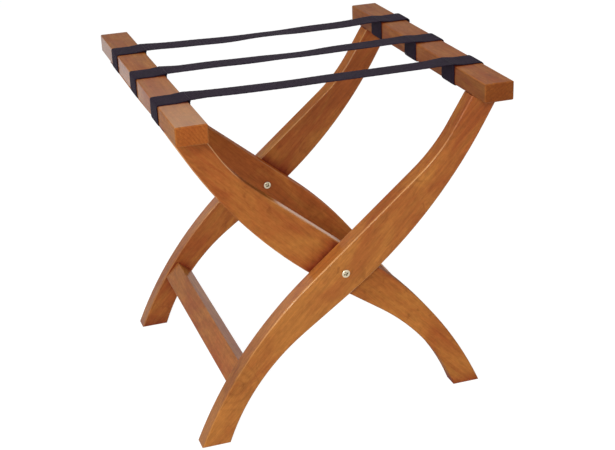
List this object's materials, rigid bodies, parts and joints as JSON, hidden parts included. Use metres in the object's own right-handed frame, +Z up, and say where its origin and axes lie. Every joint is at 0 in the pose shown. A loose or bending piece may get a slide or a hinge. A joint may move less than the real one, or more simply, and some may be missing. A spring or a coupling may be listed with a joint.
{
  "type": "folding luggage rack",
  "caption": "Folding wooden luggage rack: crossed frames with S-curved legs on one pivot axis, flat top rails and dark webbing straps that carry a suitcase.",
  "frame": {"origin": "on the floor, in the middle between the four feet", "axes": "+X along the straps towards the rail of the outer frame, +Y along the rails away from the viewer, +Z up"},
  "size_m": [0.487, 0.522, 0.51],
  "materials": {
    "stained_wood": "warm cherry stain under a satin lacquer",
    "dowel_wood": "bare beech, glued in",
    "nickel": "satin nickel plating",
    "nylon": "black nylon",
    "webbing": "woven black webbing, slightly bluish"
  },
  "bodies": {
    "outer_frame": {"right_rail": "stained_wood", "outer_leg_front": "stained_wood", "outer_leg_back": "stained_wood", "outer_stretcher": "stained_wood", "outer_rail_dowels": "dowel_wood", "outer_stretcher_tenons": "dowel_wood", "front_pivot_screw": "nickel", "front_pivot_sleeve": "nickel", "back_pivot_screw": "nickel", "back_pivot_sleeve": "nickel", "front_pivot_washer": "nylon", "back_pivot_washer": "nylon", "front_strap_right_loop": "webbing", "middle_strap_right_loop": "webbing", "back_strap_right_loop": "webbing", "front_strap_span": "webbing", "middle_strap_span": "webbing", "back_strap_span": "webbing"},
    "inner_frame": {"left_rail": "stained_wood", "inner_leg_front": "stained_wood", "inner_leg_back": "stained_wood", "inner_stretcher": "stained_wood", "inner_rail_dowels": "dowel_wood", "inner_stretcher_tenons": "dowel_wood", "front_strap_left_loop": "webbing", "middle_strap_left_loop": "webbing", "back_strap_left_loop": "webbing"}
  },
  "joints": [
    {"name": "fold", "type": "hinge", "parent": "outer_frame", "child": "inner_frame", "pos_m": [0, 0, 0.24061], "axis": [0, 1, 0], "range_deg": [0, 71], "deforming": ["front_strap_span", "middle_strap_span", "back_strap_span"]}
  ]
}
